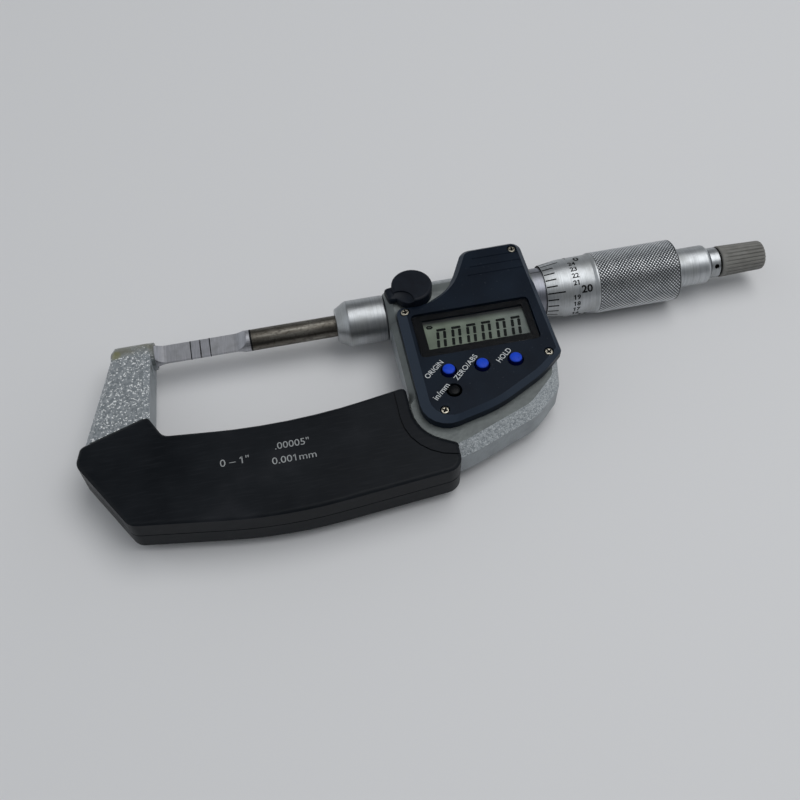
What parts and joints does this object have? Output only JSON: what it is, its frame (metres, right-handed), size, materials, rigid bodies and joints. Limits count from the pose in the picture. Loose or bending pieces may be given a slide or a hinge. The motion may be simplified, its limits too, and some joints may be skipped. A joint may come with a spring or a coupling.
{
  "type": "digital blade micrometer",
  "caption": "Digital blade micrometer: C-shaped frame with thin blades that close on a groove, display case on the front, thimble and ratchet stop.",
  "frame": {"origin": "on the table below the middle of the instrument's outline, with the flat back of the rear case at Z = 0", "axes": "+X along the measuring line from the anvil to the ratchet, +Y from the bow to the measuring line, +Z from the back to the display"},
  "size_m": [0.2106, 0.0764, 0.0222],
  "materials": {
    "hammertone_paint": "silver grey hammertone enamel, chipped at edges",
    "ground_steel": "ground",
    "carbide": "lapped",
    "tarnished_steel": "tarnished, handled",
    "satin_chrome": "satin chrome plating",
    "black_plastic": "moulded",
    "navy_plastic": "moulded",
    "ratchet_grey": "moulded, dusty",
    "blue_plastic": "moulded",
    "clear_window": "clear",
    "lcd_glass": "liquid crystal display",
    "circuit_board": "laminate",
    "silicone": "moulded",
    "brass_screw": "plated"
  },
  "bodies": {
    "frame_body": {"frame": "hammertone_paint", "anvil": "ground_steel", "anvil_tip": "carbide", "spindle_guide": "ground_steel", "spindle_key": "ground_steel", "nose_collar": "satin_chrome", "front_cover": "black_plastic", "rear_cover": "black_plastic", "fixed_sleeve": "satin_chrome", "adjusting_nut": "ground_steel", "encoder_stator": "circuit_board", "display_case": "navy_plastic", "display_window": "clear_window", "lcd_panel": "lcd_glass", "circuit_board": "circuit_board", "lcd_connectors": "silicone", "button_mat": "silicone", "case_screw_1": "brass_screw", "case_screw_2": "brass_screw", "case_screw_3": "brass_screw", "case_screw_4": "brass_screw", "rear_case": "navy_plastic", "rear_screw_1": "brass_screw", "rear_screw_2": "brass_screw", "rear_screw_3": "brass_screw", "battery": "satin_chrome", "battery_contact": "ground_steel"},
    "spindle_body": {"spindle": "tarnished_steel", "spindle_blade": "ground_steel", "spindle_tip": "carbide"},
    "thimble_body": {"thimble": "satin_chrome", "thimble_hub": "satin_chrome", "spindle_screw": "ground_steel", "spanner_ring": "satin_chrome", "ratchet_clutch": "ground_steel", "ratchet_bolt": "ground_steel", "ratchet_spring": "ground_steel"},
    "ratchet_body": {"ratchet_knob": "ratchet_grey"},
    "rotor_body": {"encoder_rotor": "satin_chrome"},
    "clamp_body": {"clamp_knob": "black_plastic", "clamp_shaft": "ground_steel"},
    "origin_button_body": {"button_origin": "blue_plastic"},
    "zero_button_body": {"button_zero": "blue_plastic"},
    "hold_button_body": {"button_hold": "blue_plastic"},
    "unit_button_body": {"button_unit": "black_plastic"},
    "battery_cap_body": {"battery_cap": "navy_plastic"}
  },
  "joints": [
    {"name": "spindle_slide", "type": "slide", "parent": "frame_body", "child": "spindle_body", "axis": [1, 0, 0], "range_m": [0, 0.0254]},
    {"name": "thimble_turn", "type": "hinge", "parent": "spindle_body", "child": "thimble_body", "pos_m": [0.05, 0.02432, 0.0098], "axis": [1, 0, 0], "range_deg": [0, 14400]},
    {"name": "ratchet_turn", "type": "hinge", "parent": "thimble_body", "child": "ratchet_body", "pos_m": [0.095, 0.02432, 0.0098], "axis": [1, 0, 0], "continuous": true},
    {"name": "rotor_turn", "type": "hinge", "parent": "frame_body", "child": "rotor_body", "pos_m": [0.018, 0.02432, 0.0098], "axis": [1, 0, 0], "range_deg": [0, 14400]},
    {"name": "clamp_turn", "type": "hinge", "parent": "frame_body", "child": "clamp_body", "pos_m": [-0.006, 0.02502, 0.0203], "axis": [0, 0, -1], "range_deg": [0, 70]},
    {"name": "origin_button_press", "type": "slide", "parent": "frame_body", "child": "origin_button_body", "axis": [0, 0, -1], "range_m": [0, 0.0004], "stiffness_N_per_m": 2500},
    {"name": "zero_button_press", "type": "slide", "parent": "frame_body", "child": "zero_button_body", "axis": [0, 0, -1], "range_m": [0, 0.0004], "stiffness_N_per_m": 2500},
    {"name": "hold_button_press", "type": "slide", "parent": "frame_body", "child": "hold_button_body", "axis": [0, 0, -1], "range_m": [0, 0.0004], "stiffness_N_per_m": 2500},
    {"name": "unit_button_press", "type": "slide", "parent": "frame_body", "child": "unit_button_body", "axis": [0, 0, -1], "range_m": [0, 0.0004], "stiffness_N_per_m": 2500},
    {"name": "battery_cap_turn", "type": "hinge", "parent": "frame_body", "child": "battery_cap_body", "pos_m": [0.0101, -0.00268, 0.001], "axis": [0, 0, 1], "range_deg": [0, 90]}
  ],
  "couplings": [
    {"joint": "spindle_slide", "follows": "thimble_turn", "m_per_rad": 0.00010106},
    {"joint": "rotor_turn", "follows": "thimble_turn", "ratio": 1}
  ]
}
